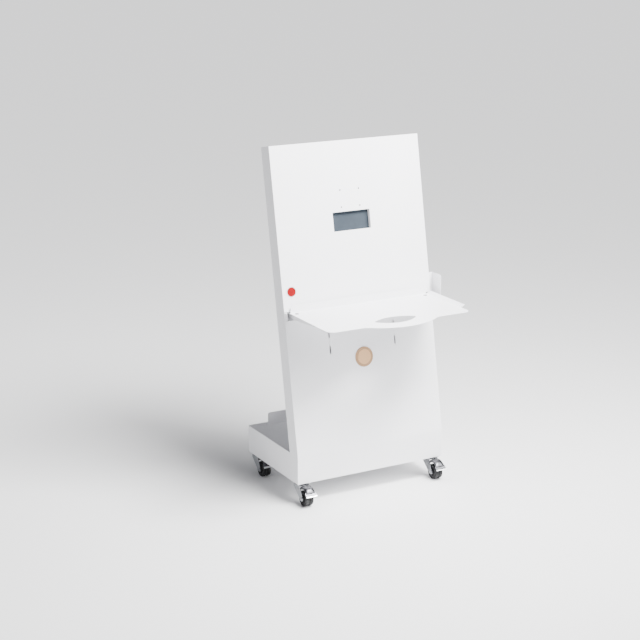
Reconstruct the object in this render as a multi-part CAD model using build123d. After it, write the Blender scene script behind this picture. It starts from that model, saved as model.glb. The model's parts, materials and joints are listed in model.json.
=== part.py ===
from build123d import *
from math import cos, radians, sin, tan
import os

# A mobile display stand folded from steel sheet: a leaning column on a low base box, with a
# handled shelf, four braked swivel casters and a cable grommet.
# Millimetres. X to the right of someone facing the front, Y towards the back, Z up.
# The origin is on the floor, under the middle of the base box.

# --- driving sizes ---------------------------------------------------------------------------
stand_width = 800.0
base_depth = 517.0
base_height = 136.0
column_thickness = 79.0  # square to the leaning front
column_length = 1446.0  # along the leaning front, from the bend to the top
lean_angle = 10.8
sheet = 2.0
side_corner_radius = 12.0

# Shelf
shelf_above_base = 801.0  # underside of the base to the top face of the shelf
shelf_side_inset = 24.0  # from the side of the column to the fold of the side lip
shelf_reach = 382.0  # from the column's front to the straight front edge
shelf_corner_radius = 32.0
lip_run = 20.0
lip_rise = 12.0
lip_end_gap = 49.0  # from the lip's end to the start of the corner
upstand_height = 34.0
upstand_corner = 10.0
upstand_end_inset = 6.0  # from the fold of the side lip
upstand_gap = 4.0  # between the upstand and the column's front
bulge_half_width = 192.0
bulge_depth = 70.0
bulge_blend_radius = 55.0
handle_half_length = 112.0
handle_back_sag = 42.0
handle_front_sag = 56.0
handle_setback = 58.0  # from the straight front edge to the line between the handle's tips
handle_tip_radius = 12.0
shelf_screw_inset = 26.0  # from the fold of the side lip
shelf_screw_setback = 30.0

shelf_screw_radius = 4.0
shelf_screw_hole = 4.3
shelf_screw_head_radius = 9.5
shelf_screw_head_gap = 0.2  # around the head, which sits in the shelf's thickness
arm_width = 30.0
arm_height = 30.0
arm_sheet = 3.0
arm_reach = 230.0  # from the column's front towards the user
arm_root_depth = 32.0  # behind the column's front

# Gap that the shelf comes out of
gap_below_shelf = 37.0
gap_above_shelf = 5.0
recess_depth = 46.0
return_flange = 14.0
flange_end_gap = 20.0

# Front panels: distances along the front are taken from the bend
window_width = 200.0
window_height = 90.0
window_below_top = 378.0
window_depth = 20.0
window_corner_radius = 3.0
mount_spacing_x = 100.0
mount_spacing_along = 80.0
mount_above_window = 107.0
mount_hole_radius = 3.5
mount_plate_thickness = 4.0
mount_plate_margin = 60.0
slot_x = 177.0
slot_length = 40.0
slot_width = 6.0
slot_low_along = 477.0
slot_pitch = 76.0
grommet_along = 420.0
grommet_hole_radius = 40.0
grommet_flange_radius = 48.0
grommet_wall = 3.8
grommet_flange = 4.0
grommet_depth = 18.0
cap_seat = 3.0
grommet_fit = 0.2
cap_gap = 0.4
badge_inset = 47.0  # from the left side
badge_along = 772.0
badge_radius = 26.0
badge_thickness = 1.5

# Rear
cover_split_along = 660.0
cover_gap = 1.0
stop_end_inset = 88.0  # from the side of the base
stop_height = 63.0
stop_setback = 40.0
stop_foot = 26.0
stop_corner_radius = 9.0

# Holder on the right side of the column
holder_gap = 20.0  # clear space between the column and the holder's ear
holder_reach = 79.0
holder_above_shelf = 96.0
holder_below_shelf = 20.0
holder_behind_front = 22.0  # web behind the column's front, at the shelf's height
holder_corner_radius = 14.0
holder_foot = 36.0

# Fasteners
screw_radius = 2.5
screw_hole_radius = 2.6
screw_head_radius = 5.0
screw_head_height = 2.6
cover_screw_inset = 22.0
cover_screw_end = 30.0
back_rail_width = 36.0

# Casters
kingpin_inset = 40.0
trail = 48.0
wheel_radius = 38.0
wheel_width = 43.0
core_radius = 27.0
hub_radius = 9.0
race_radius = 25.0
pedal_side_gap = 0.6
pedal_boss_radius = 6.5
caster_plate = 70.0
caster_plate_thickness = 3.0
bolt_inset = 9.5
bolt_radius = 4.0
bolt_hole_radius = 4.3
kingpin_radius = 6.0
running_fit = 0.06
swivel_gap = 0.6
fork_sheet = 3.0
fork_side_gap = 1.6
fork_head_radius = 33.0
fork_clearance = 18.4  # from the top of the wheel to the underside of the fork's head
fork_boss = 12.0
race_height = 6.0
axle_radius = 4.0
pedal_sheet = 3.0
pedal_pin_radius = 3.0
pedal_pin_angle = -35.0  # about the axle, from straight up towards the front
pedal_pin_gap = 12.5
pedal_tread_half_width = 28.0
# The pedal's underside: its angle about the axle and its gap from the wheel
pedal_line = [(-35.0, 10.5), (-10.0, 10.0), (5.0, 13.0), (25.0, 15.0), (45.0, 15.5), (67.0, 21.0)]
beam_width = 70.0
beam_height = 34.0
beam_end_gap = 1.0

# --- sizes worked out from them --------------------------------------------------------------
half_width = stand_width / 2
axle_z = wheel_radius
fork_low = 2 * wheel_radius + fork_clearance
fork_top = fork_low + fork_sheet
race_low = fork_top + swivel_gap
plate_low = race_low + race_height
caster_height = plate_low + caster_plate_thickness  # floor to the underside of the base
inner_half_width = half_width - sheet
front_y = -base_depth / 2
back_y = base_depth / 2
underside_z = caster_height
deck_z = underside_z + base_height
lean_sin = sin(radians(lean_angle))
lean_cos = cos(radians(lean_angle))
shelf_z = underside_z + shelf_above_base
shelf_along = (shelf_z - deck_z) / lean_cos
shelf_y = front_y + (shelf_z - deck_z) * tan(radians(lean_angle))
gap_low = shelf_along - gap_below_shelf
gap_high = shelf_along + gap_above_shelf
window_along = column_length - window_below_top
mount_along = window_along + mount_above_window
column_back_y = front_y + column_thickness / lean_cos
shelf_half_width = half_width - shelf_side_inset
shelf_screw_x = shelf_half_width - shelf_screw_inset
cover_screw_x = inner_half_width - cover_screw_inset
stop_half_width = half_width - stop_end_inset
leaning = Pos(0, front_y, deck_z) * Rot(X=-lean_angle)  # local X, depth behind the front, along it

parts = {}


def keep(name, shape):
    parts[name] = shape


def block(x, y, z):
    """A box between two limits on each axis."""
    size = (x[1] - x[0], y[1] - y[0], z[1] - z[0])
    middle = ((x[0] + x[1]) / 2, (y[0] + y[1]) / 2, (z[0] + z[1]) / 2)
    return Pos(*middle) * Box(*size)


def rod(radius, y, x, z):
    """A round bar along Y, from one depth to another."""
    return Pos(x, (y[0] + y[1]) / 2, z) * Rot(X=90) * Cylinder(radius, y[1] - y[0])


def rounded_slab(x, y, z, radius):
    """A box whose edges along Y are rounded."""
    slab = block(x, y, z)
    return fillet(slab.edges().filter_by(Axis.Y), radius)


def along_front(depth, along):
    """The Y and Z of a point behind the leaning front."""
    return (
        front_y + along * lean_sin + depth * lean_cos,
        deck_z + along * lean_cos - depth * lean_sin,
    )


def profile_along_x(points, x):
    """A solid whose section in the YZ plane is the given outline, between two X limits."""
    wire = Wire(Polyline([Vector(x[0], y, z) for y, z in points], close=True).edges())
    return extrude(Face(wire), amount=x[1] - x[0], dir=(1, 0, 0))


def screw_head(radius, height):
    """A low button head standing on the XY plane."""
    head = Pos(0, 0, height / 2) * Cylinder(radius, height)
    head = fillet(head.edges().sort_by(Axis.Z)[-1], height * 0.6)
    socket = extrude(RegularPolygon(radius * 0.4, 6), height * 0.5)
    return head - Pos(0, 0, height * 0.6) * socket


def screws(places, length=8.0, radius=screw_radius, head=(screw_head_radius, screw_head_height)):
    """Screws driven along -Z, one separate solid at each place."""
    shank = Pos(0, 0, -length / 2) * Cylinder(radius, length)
    screw = screw_head(*head) + shank
    return Compound([(place * screw).solid() for place in places])


def drilled(piece, places, radius=screw_hole_radius):
    """The piece with a round hole along Z at each place."""
    for place in places:
        piece -= place * Cylinder(radius, 16)
    return piece


# --- column and base shell -------------------------------------------------------------------
def side_outline():
    """The L-shaped side, set in behind the front panels."""
    return [
        (front_y + sheet, underside_z),
        along_front(sheet, sheet * tan(radians(lean_angle / 2))),
        along_front(sheet, column_length),
        along_front(column_thickness, column_length),
        (column_back_y, deck_z),
        (back_y, deck_z),
        (back_y, underside_z),
    ]


def side_plate(sign):
    """One flat side, L-shaped."""
    plate = profile_along_x(side_outline(), (inner_half_width, half_width))
    rear_edges = plate.edges().filter_by(Axis.X).sort_by(Axis.Y)[-2:]
    plate = fillet(rear_edges.sort_by(Axis.Z)[-1], side_corner_radius)
    if sign > 0:
        return drilled(plate, holder_screw_places())
    return mirror(plate, Plane.YZ)


def front_strips():
    """Two flat strips behind the front panels, along the sides."""
    strip = leaning * block(
        (inner_half_width - return_flange, inner_half_width),
        (sheet, 2 * sheet),
        (flange_end_gap, column_length - flange_end_gap),
    )
    return Compound([strip.solid(), mirror(strip, Plane.YZ).solid()])


def holder_screw_places():
    """Two screws through the holder's foot into the right side."""
    low = shelf_z - holder_below_shelf
    high = shelf_z + holder_above_shelf
    y = shelf_y + holder_behind_front + holder_foot * 0.6
    x = half_width + sheet
    return [Pos(x, y, low + (high - low) * share) * Rot(Y=90) for share in (0.25, 0.75)]


def upper_front_panel():
    panel = leaning * block(
        (-half_width, half_width), (0, sheet), (gap_high, column_length)
    )
    panel -= leaning * rounded_slab(
        (-window_width / 2, window_width / 2),
        (-5, sheet + 5),
        (window_along - window_height / 2, window_along + window_height / 2),
        window_corner_radius,
    )
    for x, along in mount_places():
        panel -= leaning * rod(mount_hole_radius, (-5, sheet + 5), x, along)
    return panel


def mount_places():
    return [
        (sx * mount_spacing_x / 2, mount_along + sz * mount_spacing_along / 2)
        for sx in (-1, 1)
        for sz in (-1, 1)
    ]


def slot_places():
    return [
        (sx * slot_x, slot_low_along + row * slot_pitch) for sx in (-1, 1) for row in (0, 1)
    ]


def lower_front_panel():
    """The leaning lower front and the upright apron, one bent sheet."""
    bend_in = sheet * tan(radians(lean_angle / 2))
    outline = [
        (front_y, underside_z),
        (front_y, deck_z),
        along_front(0, gap_low),
        along_front(sheet, gap_low),
        along_front(sheet, bend_in),
        (front_y + sheet, underside_z),
    ]
    panel = profile_along_x(outline, (-half_width, half_width))
    for x, along in slot_places():
        panel -= leaning * rounded_slab(
            (x - slot_width / 2, x + slot_width / 2),
            (-5, sheet + 5),
            (along - slot_length / 2, along + slot_length / 2),
            slot_width / 2 - 0.1,
        )
    panel -= leaning * rod(grommet_hole_radius, (-5, sheet + 5), 0, grommet_along)
    return panel


def top_cap():
    return leaning * block(
        (-inner_half_width, inner_half_width),
        (sheet, column_thickness - sheet),
        (column_length - sheet, column_length),
    )


def recess_channel():
    """The channel behind the gap that the shelf's arms come out of."""
    reach = inner_half_width - return_flange
    low = (gap_low - sheet, gap_low)
    high = (gap_high, gap_high + sheet)
    back = leaning * block(
        (-reach, reach), (recess_depth, recess_depth + sheet), (low[0], high[1])
    )
    floor = leaning * block((-reach, reach), (sheet, recess_depth), low)
    roof = leaning * block((-reach, reach), (sheet, recess_depth), high)
    return back + floor + roof


def cover_spans():
    """Where each back cover starts and ends along the column."""
    start = column_thickness * tan(radians(lean_angle)) + cover_gap
    end = column_length - sheet - cover_gap
    return [
        (start, cover_split_along - cover_gap / 2),
        (cover_split_along + cover_gap / 2, end),
    ]


def cover_screw_places():
    """Four screws near the corners of each back cover."""
    return [
        leaning * Pos(sign * cover_screw_x, column_thickness, along) * Rot(X=-90)
        for low, high in cover_spans()
        for sign in (-1, 1)
        for along in (low + cover_screw_end, high - cover_screw_end)
    ]


def back_cover(low, high):
    cover = leaning * block(
        (-inner_half_width, inner_half_width),
        (column_thickness - sheet, column_thickness),
        (low, high),
    )
    return drilled(cover, cover_screw_places())


def back_rail(sign):
    """The upright behind a back cover's edge, which takes the cover's screws."""
    inside = column_thickness - 2 * sheet
    start = cover_spans()[0][0] + 2 * sheet
    rail = leaning * block(
        (inner_half_width - back_rail_width, inner_half_width),
        (inside, inside + sheet),
        (start, column_length - 4 * sheet),
    )
    rail = drilled(rail, cover_screw_places())
    return rail if sign > 0 else mirror(rail, Plane.YZ)


def mount_plate():
    """The plate behind the front that carries a screen, with the window cut through it."""
    half = max(window_width, mount_spacing_x) / 2 + mount_plate_margin
    low = window_along - window_height / 2 - mount_plate_margin
    high = mount_along + mount_spacing_along / 2 + mount_plate_margin
    plate = leaning * block((-half, half), (sheet, sheet + mount_plate_thickness), (low, high))
    opening = pan_outside()
    plate -= leaning * block(opening[0], (-5, 30), opening[1])
    for x, along in mount_places():
        plate -= leaning * rod(mount_hole_radius, (-5, 30), x, along)
    return plate


def pan_outside():
    """The X and along limits of the window's pan, over its walls."""
    return (
        (-window_width / 2 - sheet, window_width / 2 + sheet),
        (window_along - window_height / 2 - sheet, window_along + window_height / 2 + sheet),
    )


def window_pan():
    """Four walls that line the window."""
    outside = pan_outside()
    walls = leaning * block(outside[0], (sheet, window_depth), outside[1])
    inside = leaning * block(
        (-window_width / 2, window_width / 2),
        (0, window_depth + 5),
        (window_along - window_height / 2, window_along + window_height / 2),
    )
    return walls - inside


def window_back():
    outside = pan_outside()
    return leaning * block(outside[0], (window_depth, window_depth + sheet), outside[1])


def badge():
    """A plain round badge on the front."""
    disc = rod(badge_radius, (-badge_thickness, 0), badge_inset - half_width, badge_along)
    disc = fillet(disc.edges().sort_by(Axis.Y)[0], 0.6)
    return leaning * disc


# --- base --------------------------------------------------------------------------------------
def base_cover():
    """The deck behind the column and the back wall, one folded sheet."""
    inside = (-inner_half_width, inner_half_width)
    start = column_back_y - sheet / lean_cos
    deck = block(inside, (start, back_y), (deck_z - sheet, deck_z))
    wall = block(inside, (back_y - sheet, back_y), (underside_z, deck_z))
    cover = deck + wall
    rear_edges = cover.edges().filter_by(Axis.X).sort_by(Axis.Y)[-2:]
    cover = fillet(rear_edges.sort_by(Axis.Z)[-1], sheet * 0.9)
    return drilled(cover, stop_screw_places())


def base_floor():
    floor = block(
        (-inner_half_width, inner_half_width),
        (front_y + sheet, back_y - sheet),
        (underside_z, underside_z + sheet),
    )
    return drilled(floor, bolt_places(), bolt_hole_radius)


def caster_beam(y):
    """An upside-down channel over a pair of casters, bolted through the floor."""
    low = underside_z + sheet
    reach = inner_half_width - beam_end_gap
    outside = block((-reach, reach), (y - beam_width / 2, y + beam_width / 2), (low, low + beam_height))
    hollow = block(
        (-half_width, half_width),
        (y - beam_width / 2 + sheet, y + beam_width / 2 - sheet),
        (low + sheet, low + beam_height + 5),
    )
    return drilled(outside - hollow, bolt_places(), bolt_hole_radius)


def stop_screw_places():
    """A row of screws down through the rear stop's foot."""
    y = back_y - stop_setback + stop_foot / 2
    shares = (-0.8, -0.27, 0.27, 0.8)
    return [Pos(share * stop_half_width, y, deck_z + sheet) for share in shares]


def rear_stop():
    """The upright lip near the back of the deck, folded from its own foot."""
    plate_y = back_y - stop_setback
    ends = (-stop_half_width, stop_half_width)
    upright = block(ends, (plate_y - sheet, plate_y), (deck_z, deck_z + stop_height))
    corners = upright.edges().filter_by(Axis.Y).sort_by(Axis.Z)[-2:]
    upright = fillet(corners, stop_corner_radius)
    foot = block(ends, (plate_y - sheet, plate_y + stop_foot), (deck_z, deck_z + sheet))
    return drilled(upright + foot, stop_screw_places())


def side_holder():
    """An ear that stands off the column's right side, open to the front."""
    web_y = shelf_y + holder_behind_front
    low = shelf_z - holder_below_shelf
    high = shelf_z + holder_above_shelf
    outer = half_width + holder_gap + sheet
    web = block((half_width, outer), (web_y - sheet, web_y), (low, high))
    ear = block((outer - sheet, outer), (web_y - holder_reach, web_y), (low, high))
    front_corners = ear.edges().filter_by(Axis.X).sort_by(Axis.Y)[:2]
    ear = fillet(front_corners, holder_corner_radius)
    foot = block((half_width, half_width + sheet), (web_y - sheet, web_y + holder_foot), (low, high))
    return drilled(web + ear + foot, holder_screw_places())


# --- shelf -------------------------------------------------------------------------------------
def shelf():
    back = -upstand_gap
    front = -shelf_reach
    plate = make_face(
        Polyline(
            (-shelf_half_width, back),
            (-shelf_half_width, front),
            (shelf_half_width, front),
            (shelf_half_width, back),
            close=True,
        )
    )
    plate = fillet(plate.vertices().sort_by(Axis.Y)[:2], shelf_corner_radius)
    arc = ThreePointArc(
        (-bulge_half_width, front), (0, front - bulge_depth), (bulge_half_width, front)
    )
    bulge = make_face([arc, Line((bulge_half_width, front), (-bulge_half_width, front))])
    plate = plate + bulge
    ends = [
        v
        for v in plate.vertices()
        if abs(abs(v.X) - bulge_half_width) < 0.1 and abs(v.Y - front) < 0.1
    ]
    plate = fillet(ends, bulge_blend_radius)
    chord = front + handle_setback
    tips = ((-handle_half_length, chord), (handle_half_length, chord))
    rear_arc = ThreePointArc(tips[0], (0, chord + handle_back_sag), tips[1])
    front_arc = ThreePointArc(tips[1], (0, chord - handle_front_sag), tips[0])
    handle = make_face([rear_arc, front_arc])
    handle = fillet(handle.vertices(), handle_tip_radius)
    tray = extrude(plate - handle, sheet)
    for sign in (-1, 1):
        tray += side_lip(sign, back, front)
    upstand_end = shelf_half_width - upstand_end_inset
    upstand = block(
        (-upstand_end, upstand_end), (back - sheet, back), (0, upstand_height + sheet)
    )
    upstand = chamfer(upstand.edges().filter_by(Axis.Y).sort_by(Axis.Z)[-2:], upstand_corner)
    tray = Pos(0, shelf_y, shelf_z - sheet) * (tray + upstand)
    return drilled(tray, shelf_screw_places(), shelf_screw_head_radius + shelf_screw_head_gap)


def shelf_screw_places():
    """Where the screws' heads stand on the arms, inside the shelf's thickness."""
    y = shelf_y - shelf_screw_setback
    return [Pos(sign * shelf_screw_x, y, shelf_z - sheet) for sign in (-1, 1)]


def side_lip(sign, back, front):
    """A lip folded up and out along one side of the shelf."""
    start = front + shelf_corner_radius + lip_end_gap
    fold = shelf_half_width
    outline = Polyline(
        (fold - 1, 0),
        (fold, 0),
        (fold + lip_run, lip_rise),
        (fold + lip_run - sheet * 0.5, lip_rise + sheet * 0.85),
        (fold - 1, sheet),
        close=True,
    )
    section = Plane.XZ * make_face(outline)
    lip = Pos(0, start, 0) * extrude(section, -(back - start))
    return lip if sign > 0 else mirror(lip, Plane.YZ)


def shelf_arm(sign):
    """A tapered arm under the shelf, rooted in the recess."""
    top = shelf_z - sheet
    under = top - arm_sheet
    tip_y = shelf_y - arm_reach
    root_y = shelf_y + arm_root_depth
    inner = shelf_screw_x - arm_width / 2
    outer = shelf_screw_x + arm_width / 2
    web = profile_along_x(
        [
            (root_y, under),
            (root_y, top - arm_height),
            (shelf_y - 20, top - arm_height + 4),
            (tip_y, top - arm_height * 0.4),
            (tip_y, under),
        ],
        (outer - arm_sheet, outer),
    )
    flange = block((inner, outer), (tip_y, root_y), (under, top))
    arm = drilled(web + flange, shelf_screw_places(), shelf_screw_hole)
    return arm if sign > 0 else mirror(arm, Plane.YZ)


# --- grommet -----------------------------------------------------------------------------------
def grommet_ring():
    barrel_radius = grommet_hole_radius - grommet_fit
    seat_radius = barrel_radius - grommet_wall
    ring = rod(grommet_flange_radius, (-grommet_flange, 0), 0, grommet_along)
    ring = fillet(ring.edges().sort_by(Axis.Y)[0], grommet_flange * 0.55)
    ring += rod(barrel_radius, (-1, grommet_depth), 0, grommet_along)
    ring -= rod(seat_radius, (-2 * grommet_flange, 0), 0, grommet_along)
    ring -= rod(seat_radius - cap_seat, (-1, grommet_depth + 1), 0, grommet_along)
    return leaning * ring


def grommet_cap():
    """The plain lid that closes the ring when no cable is led out."""
    radius = grommet_hole_radius - grommet_fit - grommet_wall - cap_gap
    cap = rod(radius, (-grommet_flange - 1, -cap_gap), 0, grommet_along)
    return leaning * fillet(cap.edges().sort_by(Axis.Y)[0], 1.5)


# --- casters -----------------------------------------------------------------------------------
def caster_places():
    """The kingpin of each caster."""
    x = half_width - kingpin_inset
    return {
        "front_left": (-x, front_y + kingpin_inset),
        "front_right": (x, front_y + kingpin_inset),
        "rear_left": (-x, back_y - kingpin_inset),
        "rear_right": (x, back_y - kingpin_inset),
    }


def plate_hole_places():
    """The four holes of one caster's plate, in the caster's own frame."""
    reach = caster_plate / 2 - bolt_inset
    return [Pos(sx * reach, sy * reach, underside_z) for sx in (-1, 1) for sy in (-1, 1)]


def bolt_places():
    """Every bolt of the four casters."""
    return [Pos(x, y, 0) * hole for x, y in caster_places().values() for hole in plate_hole_places()]


cheek_inside = wheel_width / 2 + fork_side_gap
cheek_outside = cheek_inside + fork_sheet


def around_wheel(angle, gap):
    """The Y and Z of a point off the wheel's tread, in a caster's own frame."""
    reach = wheel_radius + gap
    return (-trail - reach * sin(radians(angle)), axle_z + reach * cos(radians(angle)))


pedal_pin_y, pedal_pin_z = around_wheel(pedal_pin_angle, pedal_pin_gap)


def top_plate():
    """A square plate with the upper race of the swivel pressed out of it."""
    plate = Pos(0, 0, underside_z - caster_plate_thickness / 2) * Box(
        caster_plate, caster_plate, caster_plate_thickness
    )
    plate = fillet(plate.edges().filter_by(Axis.Z), 7)
    race = Pos(0, 0, race_low + race_height / 2) * Cylinder(race_radius, race_height)
    race = fillet(race.edges().sort_by(Axis.Z)[0], 2.5)
    plate = drilled(plate + race, plate_hole_places(), bolt_hole_radius)
    return plate - Pos(0, 0, underside_z) * Cylinder(kingpin_radius, 60)


def kingpin():
    """The pin and its lower collar, which the fork turns between."""
    low = fork_low - swivel_gap
    length = underside_z - low + 1
    pin = Pos(0, 0, underside_z - length / 2) * Cylinder(kingpin_radius, length)
    return pin + Pos(0, 0, low) * extrude(RegularPolygon(10, 6), -5)


def caster_bolt():
    """A bolt up through the plate, the floor and the beam."""
    head = Pos(0, 0, -caster_plate_thickness) * extrude(RegularPolygon(7, 6), -5)
    return head + Pos(0, 0, 5) * Cylinder(bolt_radius, 16)


def fork():
    """A pressed fork: a round head over two cheeks that trail to the axle."""
    head = Pos(0, 0, fork_top - fork_sheet / 2) * Cylinder(fork_head_radius, fork_sheet)
    head = fillet(head.edges().sort_by(Axis.Z)[-1], 1.4)
    reach = fork_head_radius - 3
    outline = Polyline(
        (reach, fork_low + 1),
        (-reach, fork_low + 1),
        (-trail - fork_boss, axle_z + 3),
        (-trail - fork_boss, axle_z - fork_boss),
        (-trail + fork_boss, axle_z - fork_boss),
        (reach, fork_low - 14),
        close=True,
    )
    cheek = make_face(outline)
    cheek = fillet(cheek.vertices().sort_by(Axis.Y)[:2], fork_boss * 0.85)
    body = extrude(Plane.YZ * cheek, cheek_outside, both=True)
    body -= block((-cheek_inside, cheek_inside), (-200, 200), (0, fork_low))
    body += head
    body -= Pos(0, 0, fork_low) * Cylinder(kingpin_radius + running_fit, 30)
    body -= axle_place * Cylinder(axle_radius, 100)
    return body - pedal_pin_place * Cylinder(pedal_pin_radius, 100)


def axle():
    """A bolt and its nut, outside the fork's cheeks."""
    bar = Cylinder(axle_radius, 2 * cheek_outside)
    head = Pos(0, 0, cheek_outside) * extrude(RegularPolygon(7.5, 6), 5)
    nut = Pos(0, 0, -cheek_outside) * extrude(RegularPolygon(7.5, 6), -6)
    return axle_place * (bar + head + nut)


def pedal_pin():
    """The pin in the fork that the brake pedal turns on."""
    return pedal_pin_place * Cylinder(pedal_pin_radius, 2 * cheek_outside + 3)


def wheel_core():
    core = Cylinder(core_radius, wheel_width - 4)
    dish = Cylinder(core_radius - 4, 20) - Cylinder(hub_radius, 20)
    for sign in (-1, 1):
        core -= Pos(0, 0, sign * (wheel_width / 2 + 2)) * dish
    core += Cylinder(hub_radius, wheel_width)
    return axle_place * (core - Cylinder(axle_radius + running_fit, 100))


def tyre():
    """Two crowned treads with a groove between them."""
    half = wheel_width / 2
    edge = [
        (core_radius, half - 2),
        (wheel_radius - 5, half),
        (wheel_radius - 1.2, half - 3),
        (wheel_radius, half / 2),
        (wheel_radius - 0.6, 1.6),
    ]
    outline = [(x, -z) for x, z in edge] + [(wheel_radius - 2.5, 0)] + edge[::-1]
    section = Plane.XZ * make_face(Polyline(*outline, close=True))
    return axle_place * revolve(section, Axis.Z)


def brake_pedal():
    """A lever over the front of the wheel, with a wider tread to step on."""
    under = [around_wheel(angle, gap) for angle, gap in pedal_line]
    top = [around_wheel(angle, gap + pedal_sheet) for angle, gap in pedal_line]
    half = cheek_inside - pedal_side_gap
    lever = profile_along_x(under + top[::-1], (-half, half))
    tread_ends = (-pedal_tread_half_width, pedal_tread_half_width)
    tread = profile_along_x(under[-2:] + top[:-3:-1], tread_ends)
    lever += pedal_pin_place * Cylinder(pedal_boss_radius, 2 * half)
    return lever + tread - pedal_pin_place * Cylinder(pedal_pin_radius + running_fit, 100)


axle_place = Pos(0, -trail, axle_z) * Rot(Y=90)
pedal_pin_place = Pos(0, pedal_pin_y, pedal_pin_z) * Rot(Y=90)


# --- assembly ------------------------------------------------------------------------------------
keep("left_side_plate", side_plate(-1))
keep("right_side_plate", side_plate(1))
keep("front_strips", front_strips())
keep("upper_front_panel", upper_front_panel())
keep("lower_front_panel", lower_front_panel())
keep("top_cap", top_cap())
keep("recess_channel", recess_channel())
keep("mount_plate", mount_plate())
keep("window_pan", window_pan())
keep("window_back_plate", window_back())
keep("badge", badge())
lower_span, upper_span = cover_spans()
keep("lower_back_cover", back_cover(*lower_span))
keep("upper_back_cover", back_cover(*upper_span))
keep("back_cover_screws", screws(cover_screw_places()))
keep("left_back_rail", back_rail(-1))
keep("right_back_rail", back_rail(1))

keep("base_cover", base_cover())
keep("base_floor", base_floor())
keep("front_caster_beam", caster_beam(front_y + kingpin_inset))
keep("rear_caster_beam", caster_beam(back_y - kingpin_inset))
keep("rear_stop", rear_stop())
keep("rear_stop_screws", screws(stop_screw_places()))
keep("side_holder", side_holder())
keep("side_holder_screws", screws(holder_screw_places()))

keep("shelf", shelf())
keep("left_shelf_arm", shelf_arm(-1))
keep("right_shelf_arm", shelf_arm(1))
shelf_screw_head = (shelf_screw_head_radius, sheet - shelf_screw_head_gap)
keep("shelf_screws", screws(shelf_screw_places(), 10.0, shelf_screw_radius, shelf_screw_head))

keep("grommet_ring", grommet_ring())
keep("grommet_cap", grommet_cap())

caster_pieces = {
    "plate": top_plate(),
    "fork": fork(),
    "axle": axle(),
    "core": wheel_core(),
    "tyre": tyre(),
    "pedal": brake_pedal(),
    "pedal_pin": pedal_pin(),
}
for corner, (x, y) in caster_places().items():
    for piece, shape in caster_pieces.items():
        keep(f"{corner}_{piece}", Pos(x, y, 0) * shape)
pin = kingpin()
keep("kingpins", Compound([(Pos(x, y, 0) * pin).solid() for x, y in caster_places().values()]))
bolt = caster_bolt()
keep("caster_bolts", Compound([(place * bolt).solid() for place in bolt_places()]))

os.makedirs("parts", exist_ok=True)
for name, shape in parts.items():
    export_step(shape, f"parts/{name}.step")
print(len(parts), "nodes")
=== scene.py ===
import json
import math

import bmesh
import bpy
from bpy.props import FloatProperty, FloatVectorProperty, IntProperty, PointerProperty
from mathutils import Matrix, Vector


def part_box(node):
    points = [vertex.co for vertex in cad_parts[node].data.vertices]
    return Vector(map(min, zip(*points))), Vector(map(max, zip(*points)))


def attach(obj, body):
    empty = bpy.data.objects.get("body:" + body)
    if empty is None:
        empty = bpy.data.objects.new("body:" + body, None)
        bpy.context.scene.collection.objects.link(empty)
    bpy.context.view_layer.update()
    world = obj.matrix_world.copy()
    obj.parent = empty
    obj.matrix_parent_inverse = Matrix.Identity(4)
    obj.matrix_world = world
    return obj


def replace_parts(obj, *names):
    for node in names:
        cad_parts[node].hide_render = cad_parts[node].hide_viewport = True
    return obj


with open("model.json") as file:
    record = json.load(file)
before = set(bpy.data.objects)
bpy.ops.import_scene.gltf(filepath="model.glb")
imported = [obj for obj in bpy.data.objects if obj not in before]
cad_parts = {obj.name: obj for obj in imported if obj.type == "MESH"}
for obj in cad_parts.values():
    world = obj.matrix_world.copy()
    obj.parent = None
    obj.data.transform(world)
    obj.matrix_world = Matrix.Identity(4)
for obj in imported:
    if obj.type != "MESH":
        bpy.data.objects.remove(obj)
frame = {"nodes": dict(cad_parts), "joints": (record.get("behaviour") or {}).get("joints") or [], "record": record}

bl_info = {
    "name": "Mobile display stand",
    "version": (1, 0, 0),
    "blender": (4, 5, 0),
    "location": "3D View > Sidebar > Display Stand",
    "description": "Finishes a sheet-steel display stand on casters, piece by piece",
    "category": "Add Mesh",
}

CORNERS = ("front_left", "front_right", "rear_left", "rear_right")

# The lower front panel, the grommet, the badge and the shelf's screws are finished on their own.
COLUMN_SHEETS = (
    "front_strips",
    "left_side_plate",
    "right_side_plate",
    "upper_front_panel",
    "top_cap",
    "recess_channel",
    "window_pan",
    "lower_back_cover",
    "upper_back_cover",
    "left_back_rail",
    "right_back_rail",
    "side_holder",
)
HIDDEN_SHEETS = ("mount_plate", "window_back_plate")  # seen only through the front's openings, coloured dark as painted shade of the column's unlit inside
BASE_SHEETS = (
    "base_cover",
    "base_floor",
    "front_caster_beam",
    "rear_caster_beam",
    "rear_stop",
)
SHELF_SHEETS = ("shelf", "left_shelf_arm", "right_shelf_arm")
SCREWS = (
    "back_cover_screws",
    "rear_stop_screws",
    "side_holder_screws",
    "kingpins",
    "caster_bolts",
)


NODE_MERGE = 1e-5  # joins a node's loose triangles
SPIN_MERGE = 1e-6  # joins the seam of a turned shape
FLAT_ANGLE = math.radians(0.5)  # faces this close to level are one flat face
BORE_PER_PIN = 4.06 / 3.0  # a wheel's bore over its pedal pin, in radius
SCREW_EDGE = 0.0002
GROMMET_EDGE = 0.0004
RIM_PAINTED_SHADE = 0.62  # how much darker the grommet's ring is painted than its cap, as painted shade on the raised ring
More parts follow.
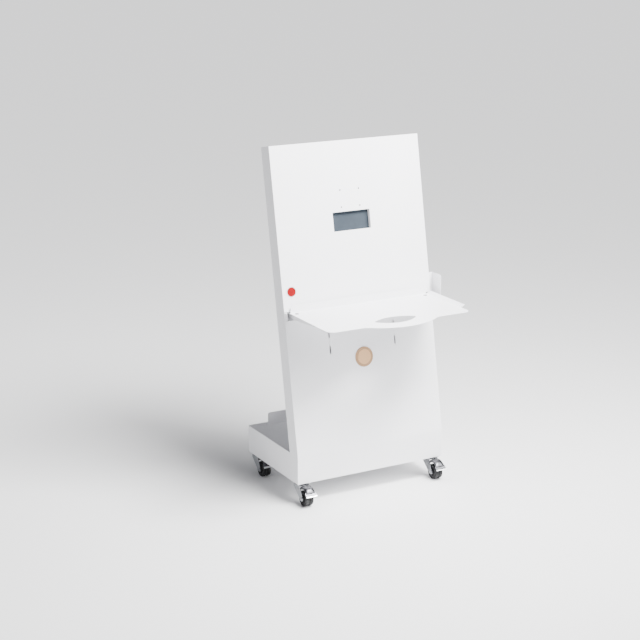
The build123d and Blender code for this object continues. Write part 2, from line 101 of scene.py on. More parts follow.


# --- settings ----------------------------------------------------------------------------------
class StandFinishSettings(bpy.types.PropertyGroup):
    """Colours and fine texture of the stand's finishes."""

    coat_color: FloatVectorProperty(
        name="Coat",
        description="Powder coat of the sheet steel",
        subtype="COLOR",
        default=(0.86, 0.86, 0.88),
    )
    # Painted shade: a dark colour that stands in for the unlit inside of the column behind the front's openings.
    interior_shade_color: FloatVectorProperty(
        name="Inside shade",
        description="Painted shade of the column's unlit inside, on the sheets behind the front's openings",
        subtype="COLOR",
        default=(0.04, 0.051, 0.064),
    )
    wood_color: FloatVectorProperty(
        name="Grommet",
        description="Beech-look grommet",
        subtype="COLOR",
        default=(0.66, 0.4, 0.21),
    )
    badge_color: FloatVectorProperty(
        name="Badge", description="Plain badge", subtype="COLOR", default=(0.24, 0.001, 0.004)
    )
    chrome_color: FloatVectorProperty(
        name="Chrome",
        description="Plated caster forks",
        subtype="COLOR",
        default=(0.42, 0.43, 0.45),
    )
    rubber_color: FloatVectorProperty(
        name="Rubber", description="Caster treads", subtype="COLOR", default=(0.014, 0.014, 0.015)
    )
    peel_size: FloatProperty(
        name="Orange peel",
        description="Width of one dimple in the powder coat",
        unit="LENGTH",
        default=0.0011,
    )


class StandSizeSettings(bpy.types.PropertyGroup):
    """Small sizes that the finished pieces add to the plain frame."""

    sheet_edge: FloatProperty(
        name="Sheet edge",
        description="Rounding of a cut sheet's edge",
        unit="LENGTH",
        default=0.0006,
    )
    fold_radius: FloatProperty(
        name="Fold radius",
        description="Rounding of the long fold across the front",
        unit="LENGTH",
        default=0.012,
    )
    pressed_edge: FloatProperty(
        name="Pressed edge",
        description="Rounding of the pressed caster parts",
        unit="LENGTH",
        default=0.0009,
    )
    groove_depth: FloatProperty(
        name="Tread groove",
        description="Depth of the groove between a caster's two treads",
        unit="LENGTH",
        default=0.0042,
    )
    hood_crown: FloatProperty(
        name="Hood crown",
        description="How far the pedal's hood stands up at its middle",
        unit="LENGTH",
        default=0.0062,
    )
    hood_gap: FloatProperty(
        name="Hood gap",
        description="From the tread of the wheel to the lower edge of the hood",
        unit="LENGTH",
        default=0.0187,
    )
    lip_depth: FloatProperty(
        name="Pedal lip",
        # The lip's near-white colour is a painted highlight.
        description="How far the lip, painted bright as a highlight, reaches back over a brake pedal's tread",
        unit="LENGTH",
        default=0.007,
    )
    spokes: IntProperty(name="Spokes", description="Ribs in each wheel's dish", default=6)


class StandStageSettings(bpy.types.PropertyGroup):
    """Camera and lights."""

    camera_place: FloatVectorProperty(
        name="Camera",
        description="Where the camera stands",
        unit="LENGTH",
        default=(-3.56, -6.184, 2.795),
    )
    camera_aim: FloatVectorProperty(
        name="Aim",
        description="The point it looks at",
        unit="LENGTH",
        default=(-0.2048, -0.1187, 0.8482),
    )
    lens: FloatProperty(name="Lens", description="Focal length in millimetres", default=86.5)
    sky_strength: FloatProperty(name="Sky", description="Strength of the even light", default=0.34)
    key_strength: FloatProperty(
        name="Key", description="Strength of the broad key light", default=5.4
    )
    panel_power: FloatProperty(
        name="Panel light", description="Power of the soft light over the front", default=380.0
    )


def settings():
    return bpy.context.scene.display_stand_finish


def sizes():
    return bpy.context.scene.display_stand_sizes


# --- shader node groups ------------------------------------------------------------------------
def new_group(name, inputs, outputs):
    """An empty shader group with named value or colour sockets."""
    group = bpy.data.node_groups.new(name, "ShaderNodeTree")
    for socket_name, kind, value in inputs:
        socket = group.interface.new_socket(socket_name, in_out="INPUT", socket_type=kind)
        socket.default_value = value
    for socket_name, kind in outputs:
        group.interface.new_socket(socket_name, in_out="OUTPUT", socket_type=kind)
    return group, group.nodes.new("NodeGroupInput"), group.nodes.new("NodeGroupOutput")


def add_math(tree, operation, first, second):
    """A Math node whose inputs are sockets or plain numbers."""
    node = tree.nodes.new("ShaderNodeMath")
    node.operation = operation
    for socket, value in zip(node.inputs, (first, second)):
        if isinstance(value, (int, float)):
            socket.default_value = value
        else:
            tree.links.new(value, socket)
    return node.outputs[0]


def surface_noise(tree, scale, detail):
    """Noise on the piece's own coordinates."""
    coordinates = tree.nodes.new("ShaderNodeTexCoord")
    noise = tree.nodes.new("ShaderNodeTexNoise")
    noise.inputs["Detail"].default_value = detail
    tree.links.new(coordinates.outputs["Object"], noise.inputs["Vector"])
    if isinstance(scale, (int, float)):
        noise.inputs["Scale"].default_value = scale
    else:
        tree.links.new(scale, noise.inputs["Scale"])
    return noise.outputs["Fac"]


def ramp(tree, value, low, high):
    """The value spread from 0 at low to 1 at high."""
    node = tree.nodes.new("ShaderNodeMapRange")
    tree.links.new(value, node.inputs["Value"])
    node.inputs["From Min"].default_value = low
    node.inputs["From Max"].default_value = high
    return node.outputs["Result"]


def grain_group():
    """Fine dimples for a Bump node's height, and a broad uneven mask."""
    if "Surface grain" in bpy.data.node_groups:
        return bpy.data.node_groups["Surface grain"]
    group, given, result = new_group(
        "Surface grain",
        [("Fine Scale", "NodeSocketFloat", 900.0), ("Broad Scale", "NodeSocketFloat", 4.0)],
        [("Height", "NodeSocketFloat"), ("Patches", "NodeSocketFloat")],
    )
    fine = surface_noise(group, given.outputs["Fine Scale"], 2.0)
    broad = surface_noise(group, given.outputs["Broad Scale"], 4.0)
    group.links.new(ramp(group, fine, 0.3, 0.7), result.inputs["Height"])
    group.links.new(ramp(group, broad, 0.35, 0.65), result.inputs["Patches"])
    return group


def tone_group():
    """A colour that drifts a little between two shades."""
    if "Uneven tone" in bpy.data.node_groups:
        return bpy.data.node_groups["Uneven tone"]
    group, given, result = new_group(
        "Uneven tone",
        [
            ("Color", "NodeSocketColor", (0.8, 0.8, 0.8, 1.0)),
            ("Darken", "NodeSocketFloat", 0.05),
            ("Patches", "NodeSocketFloat", 0.5),
        ],
        [("Color", "NodeSocketColor")],
    )
    shade = add_math(group, "MULTIPLY", given.outputs["Patches"], given.outputs["Darken"])
    keep = add_math(group, "SUBTRACT", 1.0, shade)
    scale = group.nodes.new("ShaderNodeVectorMath")
    scale.operation = "SCALE"
    group.links.new(given.outputs["Color"], scale.inputs[0])
    group.links.new(keep, scale.inputs["Scale"])
    group.links.new(scale.outputs["Vector"], result.inputs["Color"])
    return group


# --- materials -----------------------------------------------------------------------------------
def base_material(name, color, fine_scale, broad_scale, darken, roughness, bump):
    """A Principled material with drifting tone, patchy roughness and fine bump.

    roughness is (least, most). bump is (strength, height in metres), or None for no bump.
    """
    material = bpy.data.materials.new(name)
    material.use_nodes = True
    tree = material.node_tree
    shader = tree.nodes["Principled BSDF"]
    grain = tree.nodes.new("ShaderNodeGroup")
    grain.node_tree = grain_group()
    grain.inputs["Fine Scale"].default_value = fine_scale
    grain.inputs["Broad Scale"].default_value = broad_scale
    tone = tree.nodes.new("ShaderNodeGroup")
    tone.node_tree = tone_group()
    tone.inputs["Color"].default_value = (*color, 1.0)
    tone.inputs["Darken"].default_value = darken
    tree.links.new(grain.outputs["Patches"], tone.inputs["Patches"])
    tree.links.new(tone.outputs["Color"], shader.inputs["Base Color"])
    spread = tree.nodes.new("ShaderNodeMapRange")
    spread.inputs["To Min"].default_value = roughness[0]
    spread.inputs["To Max"].default_value = roughness[1]
    tree.links.new(grain.outputs["Patches"], spread.inputs["Value"])
    tree.links.new(spread.outputs["Result"], shader.inputs["Roughness"])
    if bump:
        relief = tree.nodes.new("ShaderNodeBump")
        relief.inputs["Strength"].default_value = bump[0]
        relief.inputs["Distance"].default_value = bump[1]
        tree.links.new(grain.outputs["Height"], relief.inputs["Height"])
        tree.links.new(relief.outputs["Normal"], shader.inputs["Normal"])
    return material, shader


def powder_coat(name, color):
    """Satin powder coat with orange peel."""
    scale = 1.0 / settings().peel_size
    material, shader = base_material(
        name,
        color,
        fine_scale=scale,
        broad_scale=3.0,
        darken=0.035,
        roughness=(0.36, 0.48),
        bump=(0.12, 0.00025),
    )
    shader.inputs["Specular IOR Level"].default_value = 0.45
    shader.inputs["Coat Roughness"].default_value = 0.3
    return material


def dull_coat(name, color):
    """Dark matt surface that takes little shine, used for blackened steel and for the painted shade of the
    column's inside.
    """
    material, shader = base_material(
        name,
        color,
        fine_scale=900.0,
        broad_scale=12.0,
        darken=0.2,
        roughness=(0.62, 0.78),
        bump=(0.08, 0.0002),
    )
    shader.inputs["Specular IOR Level"].default_value = 0.12
    return material


def plated(name, color, roughness, darken, streak):
    """Bright or dull plating with faint brushing along one direction."""
    material, shader = base_material(
        name,
        color,
        fine_scale=260.0,
        broad_scale=22.0,
        darken=darken,
        roughness=roughness,
        bump=None,
    )
    shader.inputs["Metallic"].default_value = 1.0
    tree = material.node_tree
    coordinates = tree.nodes.new("ShaderNodeTexCoord")
    stretch = tree.nodes.new("ShaderNodeMapping")
    stretch.inputs["Scale"].default_value = (3000.0, 90.0, 3000.0)
    brushing = tree.nodes.new("ShaderNodeTexNoise")
    brushing.inputs["Scale"].default_value = 1.0
    relief = tree.nodes.new("ShaderNodeBump")
    relief.inputs["Strength"].default_value = streak
    relief.inputs["Distance"].default_value = 0.0001
    tree.links.new(coordinates.outputs["Object"], stretch.inputs["Vector"])
    tree.links.new(stretch.outputs["Vector"], brushing.inputs["Vector"])
    tree.links.new(brushing.outputs["Fac"], relief.inputs["Height"])
    tree.links.new(relief.outputs["Normal"], shader.inputs["Normal"])
    return material


def beech_look(name, color):
    """Pale wood-look moulding with rings that run across the grommet."""
    material, shader = base_material(
        name,
        color,
        fine_scale=700.0,
        broad_scale=30.0,
        darken=0.12,
        roughness=(0.42, 0.6),
        bump=(0.1, 0.0002),
    )
    tree = material.node_tree
    coordinates = tree.nodes.new("ShaderNodeTexCoord")
    stretch = tree.nodes.new("ShaderNodeMapping")
    stretch.inputs["Scale"].default_value = (14.0, 60.0, 120.0)
    rings = tree.nodes.new("ShaderNodeTexWave")
    rings.bands_direction = "Z"
    rings.inputs["Scale"].default_value = 1.0
    rings.inputs["Distortion"].default_value = 5.0
    rings.inputs["Detail"].default_value = 3.0
    blend = tree.nodes.new("ShaderNodeMix")
    blend.data_type = "RGBA"
    blend.inputs["A"].default_value = (*color, 1.0)
    ring_color = tuple(part * shade for part, shade in zip(color, (0.74, 0.66, 0.56)))
    blend.inputs["B"].default_value = (*ring_color, 1.0)
    tree.links.new(coordinates.outputs["Object"], stretch.inputs["Vector"])
    tree.links.new(stretch.outputs["Vector"], rings.inputs["Vector"])
    tree.links.new(ramp(tree, rings.outputs["Fac"], 0.55, 1.3), blend.inputs["Factor"])
    tree.links.new(blend.outputs["Result"], shader.inputs["Base Color"])
    return material


def rubber(name, color):
    """Black rubber with a grey bloom in patches."""
    material, shader = base_material(
        name,
        color,
        fine_scale=1400.0,
        broad_scale=45.0,
        darken=0.5,
        roughness=(0.45, 0.68),
        bump=(0.2, 0.0002),
    )
    shader.inputs["Specular IOR Level"].default_value = 0.4
    return material


def moulded_plastic(name, color):
    """Fine-grained black plastic."""
    material, shader = base_material(
        name,
        color,
        fine_scale=2200.0,
        broad_scale=35.0,
        darken=0.3,
        roughness=(0.34, 0.5),
        bump=(0.25, 0.00015),
    )
    shader.inputs["Specular IOR Level"].default_value = 0.5
    return material


def gloss_enamel(name, color):
    """Glossy enamel with a clear coat."""
    material, shader = base_material(
        name,
        color,
        fine_scale=500.0,
        broad_scale=60.0,
        darken=0.15,
        roughness=(0.16, 0.24),
        bump=(0.04, 0.0001),
    )
    shader.inputs["Coat Weight"].default_value = 0.6
    shader.inputs["Coat Roughness"].default_value = 0.08
    return material


def finish(name):
    """The named finish, made when it is first asked for."""
    if name in bpy.data.materials:
        return bpy.data.materials[name]
    chosen = settings()
    # The ring's colour is the cap's colour darkened as painted shade.
    rim_shaded_color = tuple(RIM_PAINTED_SHADE * part for part in chosen.wood_color)
    makers = {
        "white_coat": lambda: powder_coat(name, tuple(chosen.coat_color)),
        "interior_painted_shade": lambda: dull_coat(name, tuple(chosen.interior_shade_color)),
        "beech_look": lambda: beech_look(name, tuple(chosen.wood_color)),
        "beech_rim_painted_shade": lambda: beech_look(name, rim_shaded_color),
        "badge_enamel": lambda: gloss_enamel(name, tuple(chosen.badge_color)),
        "badge_rim": lambda: gloss_enamel(name, (0.8, 0.8, 0.8)),
        "bright_plating": lambda: plated(
            name, tuple(chosen.chrome_color), roughness=(0.1, 0.2), darken=0.1, streak=0.05
        ),
        # Painted highlight: near-white plating that stands in for the highlight along the brake pedal's bent edge.
        "lip_painted_highlight": lambda: plated(
            name, (0.86, 0.87, 0.88), roughness=(0.12, 0.24), darken=0.08, streak=0.04
        ),
        "pedal_plating": lambda: plated(
            name, (0.13, 0.13, 0.14), roughness=(0.22, 0.36), darken=0.3, streak=0.08
        ),
        "blackened_steel": lambda: dull_coat(name, (0.035, 0.035, 0.038)),
        "zinc_plating": lambda: plated(
            name, (0.46, 0.47, 0.49), roughness=(0.3, 0.45), darken=0.15, streak=0.15
        ),
        "tread_rubber": lambda: rubber(name, tuple(chosen.rubber_color)),
        "black_moulding": lambda: moulded_plastic(name, (0.018, 0.018, 0.02)),
    }
    return makers[name]()


# --- mesh helpers ------------------------------------------------------------------------------
def placed_piece(name, bm, body, finish_name):
    """An object from a finished bmesh that rides on a body."""
    mesh = bpy.data.meshes.new(name)
    bm.to_mesh(mesh)
    bm.free()
    for polygon in mesh.polygons:
        polygon.use_smooth = True
    mesh.materials.append(finish(finish_name))
    piece = bpy.data.objects.new(name, mesh)
    bpy.context.scene.collection.objects.link(piece)
    weighted = piece.modifiers.new("even normals", "WEIGHTED_NORMAL")
    weighted.keep_sharp = True
    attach(piece, body)
    return piece


def merged_copy(node):
    """A CAD node's shape with its loose triangles joined and its flat faces whole."""
    bm = bmesh.new()
    bm.from_mesh(frame["nodes"][node].data)
    bmesh.ops.remove_doubles(bm, verts=bm.verts, dist=NODE_MERGE)
    bmesh.ops.dissolve_limit(bm, angle_limit=FLAT_ANGLE, verts=bm.verts, edges=bm.edges)
    return bm


def round_edges(bm, width, segments, least_angle=30.0):
    """Rounds every edge that is sharper than an angle."""
    limit = math.radians(least_angle)
    shared = [edge for edge in bm.edges if len(edge.link_faces) == 2]
    sharp = [edge for edge in shared if edge.calc_face_angle(0.0) > limit]
    bmesh.ops.bevel(
        bm,
        geom=sharp,
        offset=width,
        offset_type="OFFSET",
        segments=segments,
        profile=0.5,
        affect="EDGES",
        material=-1,
        clamp_overlap=False,
    )


def finished_node(node, body, finish_name, width, segments=2):
    """A piece that stands for a CAD node, with its edges rounded."""
    bm = merged_copy(node)
    round_edges(bm, width, segments)
    piece = placed_piece(f"{node}_finished", bm, body, finish_name)
    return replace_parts(piece, node)


def spun_piece(name, profile, place, body, finish_name, rounding=0.0, steps=72):
    """A closed profile of (radius, height) turned about Z, then put in place."""
    bm = bmesh.new()
    loop = [bm.verts.new((radius, 0.0, height)) for radius, height in profile]
    edges = [bm.edges.new((a, b)) for a, b in zip(loop, loop[1:] + loop[:1])]
    if rounding:
        bmesh.ops.bevel(
            bm, geom=loop + edges, offset=rounding, offset_type="OFFSET", segments=3, profile=0.5,
            affect="VERTICES", material=-1, clamp_overlap=True,
        )
    bmesh.ops.spin(
        bm, geom=bm.verts[:] + bm.edges[:], cent=(0, 0, 0), axis=(0, 0, 1), dvec=(0, 0, 0),
        angle=math.tau, steps=steps, use_merge=True, use_duplicate=False,
    )
    bmesh.ops.remove_doubles(bm, verts=bm.verts, dist=SPIN_MERGE)
    bmesh.ops.recalc_face_normals(bm, faces=bm.faces)
    bmesh.ops.transform(bm, matrix=place, verts=bm.verts)
    return placed_piece(name, bm, body, finish_name)


def bar(bm, size, matrix, width=0.0004):
    """Adds a round-edged bar to a bmesh."""
    made = bmesh.ops.create_cube(bm, size=1.0, matrix=matrix @ Matrix.Diagonal((*size, 1.0)))
    edges = {edge for vert in made["verts"] for edge in vert.link_edges}
    bmesh.ops.bevel(
        bm, geom=list(edges), offset=width, offset_type="OFFSET", segments=2, profile=0.5,
        affect="EDGES", material=-1, clamp_overlap=True,
    )


def joint_place(name):
    """Where a joint is, as a vector."""
    return next(Vector(joint["pos_m"]) for joint in frame["joints"] if joint["name"] == name)


def wheel_bore(corner):
    """The radius of a wheel's bore, just over its axle's."""
    low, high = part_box(f"{corner}_pedal_pin")
    return (high.z - low.z) / 2 * BORE_PER_PIN


def front_normal():
    """The way that the leaning front faces, from its first screw hole."""
    mounts = frame["record"]["mounts"]
    return next(Vector(mount["axis"]) for mount in mounts if mount["kind"] == "bore")


# --- pieces ------------------------------------------------------------------------------------
class STAND_OT_column(bpy.types.Operator):
    """Finish the folded sheets of the column"""

    bl_idname = "display_stand.column"
    bl_label = "Column Sheets"

    def execute(self, context):
        edge = sizes().sheet_edge
        for node in COLUMN_SHEETS:
            finished_node(node, "stand", "white_coat", edge)
        # These sheets get a dark colour as painted shade of the column's unlit inside.
        for node in HIDDEN_SHEETS:
            finished_node(node, "stand", "interior_painted_shade", edge)
        self.front_with_fold(edge)
        return {"FINISHED"}

    def front_with_fold(self, edge):
        """The lower front, whose long fold has a soft radius."""
        bm = merged_copy("lower_front_panel")
        least_fold, most_fold = math.radians(5), math.radians(20)
        least_length = 0.5
        fold = [
            e
            for e in bm.edges
            if len(e.link_faces) == 2
            and least_fold < e.calc_face_angle(0.0) < most_fold
            and abs(e.verts[0].co.x - e.verts[1].co.x) > least_length
        ]
        bmesh.ops.bevel(
            bm,
            geom=fold,
            offset=sizes().fold_radius,
            offset_type="OFFSET",
            segments=4,
            profile=0.5,
            affect="EDGES",
            material=-1,
            clamp_overlap=False,
        )
        round_edges(bm, edge, 2)
        name = "lower_front_panel_finished"
        piece = placed_piece(name, bm, "stand", "white_coat")
        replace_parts(piece, "lower_front_panel")


class STAND_OT_base(bpy.types.Operator):
    """Finish the sheets of the base box"""

    bl_idname = "display_stand.base"
    bl_label = "Base Sheets"

    def execute(self, context):
        for node in BASE_SHEETS:
            finished_node(node, "stand", "white_coat", sizes().sheet_edge)
        return {"FINISHED"}


class STAND_OT_shelf(bpy.types.Operator):
    """Finish the shelf and its two arms"""

    bl_idname = "display_stand.shelf"
    bl_label = "Shelf"

    def execute(self, context):
        for node in SHELF_SHEETS:
            finished_node(node, "stand", "white_coat", sizes().sheet_edge)
        return {"FINISHED"}


class STAND_OT_grommet(bpy.types.Operator):
    """Finish the cable grommet's ring and cap"""

    bl_idname = "display_stand.grommet"
    bl_label = "Cable Grommet"

    def execute(self, context):
        # The ring's darker colour is painted shade on the raised ring.
        finished_node("grommet_ring", "stand", "beech_rim_painted_shade", GROMMET_EDGE)
        finished_node("grommet_cap", "stand", "beech_look", GROMMET_EDGE)
        return {"FINISHED"}


class STAND_OT_badge(bpy.types.Operator):
    """Make the plain round badge with its pale rim"""

    bl_idname = "display_stand.badge"
    bl_label = "Badge"

    def execute(self, context):
        low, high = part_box("badge")
        centre = (low + high) / 2
        radius = (high.x - low.x) / 2
        facing = front_normal().to_track_quat("Z", "Y").to_matrix().to_4x4()
        place = Matrix.Translation(centre) @ facing
        half = 0.00073  # half of the badge's thickness
        inner, outer = radius * 0.86, radius - 0.0001
        shoulder = half * 0.6
        rim = [
            (inner, -half),
            (outer, -half),
            (outer, shoulder),
            (radius * 0.93, half),
            (inner, shoulder),
        ]
        ring = spun_piece("badge_rim", rim, place, "stand", "badge_rim", 0.0002)
        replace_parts(ring, "badge")
        self.dome(place, radius * 0.855, half)
        return {"FINISHED"}

    def dome(self, place, radius, half):
        """A low dome that fills the rim."""
        rise, sink = 1.6 * half, 0.8 * half
        bm = bmesh.new()
        made = bmesh.ops.create_uvsphere(bm, u_segments=64, v_segments=24, radius=radius)
        below = [vert for vert in made["verts"] if vert.co.z < -1e-6]
        bmesh.ops.delete(bm, geom=below, context="VERTS")
        rim = [edge for edge in bm.edges if edge.is_boundary]
        bmesh.ops.contextual_create(bm, geom=rim)
        bmesh.ops.scale(bm, vec=(1.0, 1.0, rise / radius), verts=bm.verts)
        bmesh.ops.translate(bm, vec=(0.0, 0.0, -sink), verts=bm.verts)
        bmesh.ops.recalc_face_normals(bm, faces=bm.faces)
        bmesh.ops.transform(bm, matrix=place, verts=bm.verts)
        placed_piece("badge_dome", bm, "stand", "badge_enamel")


class STAND_OT_casters(bpy.types.Operator):
    """Make the four casters"""

    bl_idname = "display_stand.casters"
    bl_label = "Casters"

    def execute(self, context):
        edge = sizes().pressed_edge
        for corner in CORNERS:
            caster, brake = f"{corner}_caster", f"{corner}_brake"
            for node, body, look, slot, share in (
                ("plate", "stand", "zinc_plating", "caster_chrome", 0.5),
                ("fork", caster, "bright_plating", "caster_chrome", 1.0),
                ("axle", caster, "zinc_plating", "zinc_screws", 0.5),
                ("pedal_pin", caster, "zinc_plating", "zinc_screws", 0.4),
                ("pedal", brake, "pedal_plating", "black_plastic", 0.5),
            ):
                finished_node(f"{corner}_{node}", body, look, edge * share)
            self.seal(corner)
            self.wheel(corner)
            self.hood(corner)
            self.lip(corner)
        return {"FINISHED"}

    def seal(self, corner):
        """A black dust seal around the swivel's race."""
        low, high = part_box(f"{corner}_plate")
        pin = joint_place(f"{corner}_swivel")
        place = Matrix.Translation((pin.x, pin.y, low.z))
        inner, shoulder, outer = 0.0215, 0.0242, 0.0256  # radii
        ring = [
            (inner, -0.0005),
            (shoulder, -0.0005),
            (outer, 0.0008),
            (outer, 0.0026),
            (outer - 0.0005, 0.0026),
            (inner, 0.0),
        ]
        spun_piece(f"{corner}_seal", ring, place, "stand", "black_moulding")

    def wheel(self, corner):
        """The tread and the ribbed core of one wheel."""
        low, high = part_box(f"{corner}_tyre")
        body = f"{corner}_wheel"
        centre = (low + high) / 2
        radius = (high.z - low.z) / 2
        half = (high.x - low.x) / 2
        core_low, core_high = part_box(f"{corner}_core")
        core = (core_high.z - core_low.z) / 2
        bore = wheel_bore(corner)
        place = Matrix.Translation(centre) @ Matrix.Rotation(math.pi / 2, 4, "Y")
        groove = sizes().groove_depth
        # Each pair is a radius and a distance from the wheel's middle plane.
        side = [
            (core + 0.0002, half - 0.0018),
            (core + 0.0022, half - 0.0004),
            (radius - 0.0052, half - 0.0001),
            (radius - 0.002, half - 0.0018),
            (radius - 0.0004, half * 0.74),
            (radius - 0.0001, half * 0.5),
            (radius - 0.0005, half * 0.28),
            (radius - groove * 0.55, half * 0.13),
            (radius - groove, half * 0.08),
        ]
        tread = side + [(r, -z) for r, z in side[::-1]]
        tyre = spun_piece(
            f"{corner}_tread",
            tread,
            place,
            body,
            "tread_rubber",
            rounding=0.0003,
            steps=96,
        )
        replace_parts(tyre, f"{corner}_tyre")
        dish = half - 0.0075
        face = [
            (bore, half - 0.0002),
            (bore + 0.004, half - 0.0002),
            (bore + 0.0052, half - 0.0012),
            (bore + 0.0062, dish),
            (core - 0.0056, dish),
            (core - 0.0036, half - 0.0034),
            (core - 0.0012, half - 0.0021),
            (core, half - 0.0021),
        ]
        profile = face + [(r, -z) for r, z in face[::-1]]
        disc = spun_piece(
            f"{corner}_wheel_core",
            profile,
            place,
            body,
            "black_moulding",
            rounding=0.0005,
        )
        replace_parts(disc, f"{corner}_core")
        self.spokes(corner, place, body, bore, core, dish, half)

    def hood(self, corner):
        """A domed cover pressed over the lever of the brake pedal."""
        wheel_low, wheel_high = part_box(f"{corner}_tyre")
        centre = (wheel_low + wheel_high) / 2
        radius = (wheel_high.z - wheel_low.z) / 2
        half = (wheel_high.x - wheel_low.x) / 2
        bm = bmesh.new()
        bmesh.ops.create_grid(bm, x_segments=16, y_segments=24, size=1.0)
        start, end = math.radians(-8.0), math.radians(50.0)  # about the axle, from straight up
        foot, spread, fullness = 0.12, 0.8, 0.7  # how the crown swells along the hood
        overhang, hood_sheet = 0.0012, 0.0009
        for vert in bm.verts:
            across, along = vert.co.x, (vert.co.y + 1.0) / 2
            angle = start + (end - start) * along
            crown = sizes().hood_crown * math.sin(math.pi * (foot + spread * along)) ** fullness
            width = half + overhang
            reach = radius + sizes().hood_gap + crown * (1.0 - abs(across) ** 3)
            vert.co = Vector(
                (
                    centre.x + width * across,
                    centre.y - reach * math.sin(angle),
                    centre.z + reach * math.cos(angle),
                )
            )
        bmesh.ops.recalc_face_normals(bm, faces=bm.faces)
        bmesh.ops.solidify(bm, geom=bm.faces[:], thickness=hood_sheet)
        bmesh.ops.recalc_face_normals(bm, faces=bm.faces)
        name = f"{corner}_pedal_hood"
        placed_piece(name, bm, f"{corner}_brake", "pedal_plating")

    def lip(self, corner):
        """The lip folded over the front of the brake pedal's tread, coloured near-white as a painted highlight on
        the pedal's bent edge.
        """
        low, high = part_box(f"{corner}_pedal")
        mesh = frame["nodes"][f"{corner}_pedal"].data
        near_side = 1e-4
        wide = [vert.co for vert in mesh.vertices if vert.co.x > high.x - near_side]
        edge = min(wide, key=lambda place: place.y)
        back = (max(wide, key=lambda place: place.z) - edge).normalized()
        lift = Vector((1.0, 0.0, 0.0)).cross(back)
        reach = sizes().lip_depth
        # Each pair is a distance in front of the tread's edge and one above it.
        section = [
            (-reach, 0.0001),
            (-reach, 0.0009),
            (-0.0012, 0.0016),
            (0.001, 0.0012),
            (0.0015, -0.0003),
            (0.0006, -0.0028),
            (-0.0006, -0.0031),
            (0.0002, 0.0001),
        ]
        bm = bmesh.new()
        loop = [bm.verts.new(edge - back * ahead + lift * above) for ahead, above in section]
        rim = [bm.edges.new((a, b)) for a, b in zip(loop, loop[1:] + loop[:1])]
        face = bmesh.ops.contextual_create(bm, geom=rim)["faces"]
        made = bmesh.ops.extrude_face_region(bm, geom=face)["geom"]
        far = [item for item in made if isinstance(item, bmesh.types.BMVert)]
        bmesh.ops.translate(bm, vec=(low.x - high.x, 0.0, 0.0), verts=far)
        bmesh.ops.recalc_face_normals(bm, faces=bm.faces)
        round_edges(bm, width=0.00015, segments=2)
        placed_piece(f"{corner}_pedal_lip", bm, f"{corner}_brake", "lip_painted_highlight")

    def spokes(self, corner, place, body, bore, core, dish, half):
        """Raised ribs between hub and rim, on both faces."""
        bm = bmesh.new()
        inner, outer = bore + 0.0045, core - 0.0045
        width, height, lift = 0.0028, 0.0044, 0.0008
        for number in range(sizes().spokes):
            turn = Matrix.Rotation(math.tau * number / sizes().spokes, 4, "Z")
            for sign in (-1, 1):
                middle = Matrix.Translation(((inner + outer) / 2, 0.0, sign * (dish + lift)))
                bar(bm, (outer - inner, width, height), place @ turn @ middle)
        placed_piece(f"{corner}_spokes", bm, body, "black_moulding")


class STAND_OT_fasteners(bpy.types.Operator):
    """Finish the screws, bolts and pins"""

    bl_idname = "display_stand.fasteners"
    bl_label = "Fasteners"

    def execute(self, context):
        for node in SCREWS:
            finished_node(node, "stand", "zinc_plating", SCREW_EDGE)
        finished_node("shelf_screws", "stand", "blackened_steel", SCREW_EDGE)
        return {"FINISHED"}


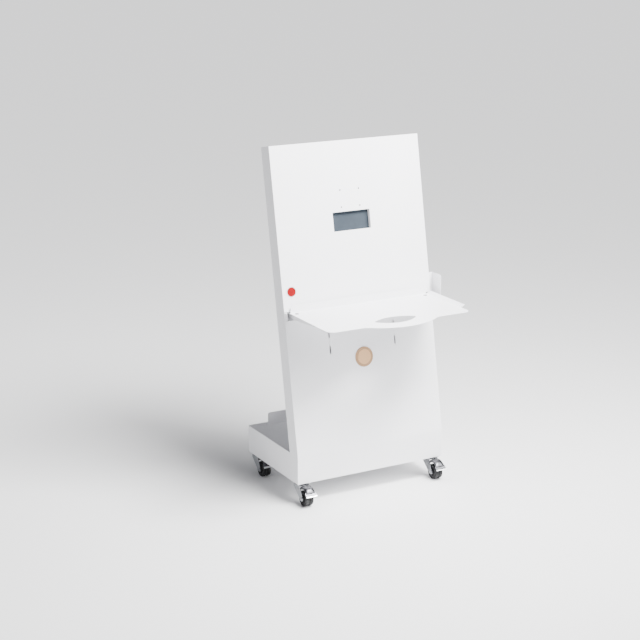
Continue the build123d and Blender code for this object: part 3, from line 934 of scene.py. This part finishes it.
class STAND_OT_stage(bpy.types.Operator):
    """Set up the floor, the lights and the camera"""

    bl_idname = "display_stand.stage"
    bl_label = "Stage"

    def execute(self, context):
        scene = context.scene
        chosen = scene.display_stand_stage
        self.floor(scene)
        self.sky(scene, chosen)
        self.key(scene, chosen)
        self.panel_light(scene, chosen)
        self.camera(scene, chosen)
        return {"FINISHED"}

    def floor(self, scene):
        floor_reach = 70.0
        bm = bmesh.new()
        bmesh.ops.create_grid(bm, x_segments=4, y_segments=4, size=floor_reach)
        mesh = bpy.data.meshes.new("floor")
        bm.to_mesh(mesh)
        bm.free()
        material = bpy.data.materials.new("studio_floor")
        material.use_nodes = True
        shader = material.node_tree.nodes["Principled BSDF"]
        shader.inputs["Base Color"].default_value = (0.93, 0.93, 0.93, 1.0)
        shader.inputs["Roughness"].default_value = 0.9
        shader.inputs["Specular IOR Level"].default_value = 0.1
        mesh.materials.append(material)
        floor = bpy.data.objects.new("floor", mesh)
        scene.collection.objects.link(floor)

    def sky(self, scene, chosen):
        world = bpy.data.worlds.new("studio")
        world.use_nodes = True
        background = world.node_tree.nodes["Background"]
        background.inputs["Color"].default_value = (0.94, 0.95, 1.0, 1.0)
        background.inputs["Strength"].default_value = chosen.sky_strength
        scene.world = world

    def key(self, scene, chosen):
        light = bpy.data.lights.new("key", "SUN")
        light.energy = chosen.key_strength
        light.angle = math.radians(45)
        lamp = bpy.data.objects.new("key", light)
        toward_light = Vector((0.38, -0.6, 0.7))
        lamp.rotation_euler = toward_light.to_track_quat("Z", "Y").to_euler()
        scene.collection.objects.link(lamp)

    def panel_light(self, scene, chosen):
        light = bpy.data.lights.new("panel_light", "AREA")
        light.shape = "RECTANGLE"
        light.size = 1.8
        light.size_y = 0.8
        light.energy = chosen.panel_power
        lamp = bpy.data.objects.new("panel_light", light)
        place = Vector((0.7, -1.6, 3.2))
        aim = Vector((0.0, 0.0, 1.35))
        lamp.location = place
        lamp.rotation_euler = (place - aim).to_track_quat("Z", "Y").to_euler()
        scene.collection.objects.link(lamp)

    def camera(self, scene, chosen):
        data = bpy.data.cameras.new("camera")
        data.lens = chosen.lens
        data.sensor_width = 36.0
        data.clip_end = 200.0
        camera = bpy.data.objects.new("camera", data)
        place = Vector(chosen.camera_place)
        aim = Vector(chosen.camera_aim)
        camera.location = place
        camera.rotation_euler = (place - aim).to_track_quat("Z", "Y").to_euler()
        scene.collection.objects.link(camera)
        scene.camera = camera


OPERATORS = (
    STAND_OT_column,
    STAND_OT_base,
    STAND_OT_shelf,
    STAND_OT_grommet,
    STAND_OT_badge,
    STAND_OT_casters,
    STAND_OT_fasteners,
    STAND_OT_stage,
)


class STAND_PT_sidebar(bpy.types.Panel):
    """Lists the stand's pieces and settings"""

    bl_idname = "STAND_PT_sidebar"
    bl_label = "Display Stand"
    bl_space_type = "VIEW_3D"
    bl_region_type = "UI"
    bl_category = "Display Stand"

    def draw(self, context):
        layout = self.layout
        for operator in OPERATORS:
            layout.operator(operator.bl_idname)
        scene = context.scene
        groups = (scene.display_stand_finish, scene.display_stand_sizes, scene.display_stand_stage)
        for group in groups:
            for name in group.__annotations__:
                layout.prop(group, name)


SETTINGS = (StandFinishSettings, StandSizeSettings, StandStageSettings)
CLASSES = (*SETTINGS, *OPERATORS, STAND_PT_sidebar)


def register():
    for item in CLASSES:
        bpy.utils.register_class(item)
    bpy.types.Scene.display_stand_finish = PointerProperty(type=StandFinishSettings)
    bpy.types.Scene.display_stand_sizes = PointerProperty(type=StandSizeSettings)
    bpy.types.Scene.display_stand_stage = PointerProperty(type=StandStageSettings)


def unregister():
    del bpy.types.Scene.display_stand_stage
    del bpy.types.Scene.display_stand_sizes
    del bpy.types.Scene.display_stand_finish
    for item in reversed(CLASSES):
        bpy.utils.unregister_class(item)


def main():
    register()
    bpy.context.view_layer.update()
    bpy.ops.display_stand.column()
    bpy.ops.display_stand.base()
    bpy.ops.display_stand.shelf()
    bpy.ops.display_stand.grommet()
    bpy.ops.display_stand.badge()
    bpy.ops.display_stand.casters()
    bpy.ops.display_stand.fasteners()
    bpy.ops.display_stand.stage()


if __name__ == "__main__":
    main()
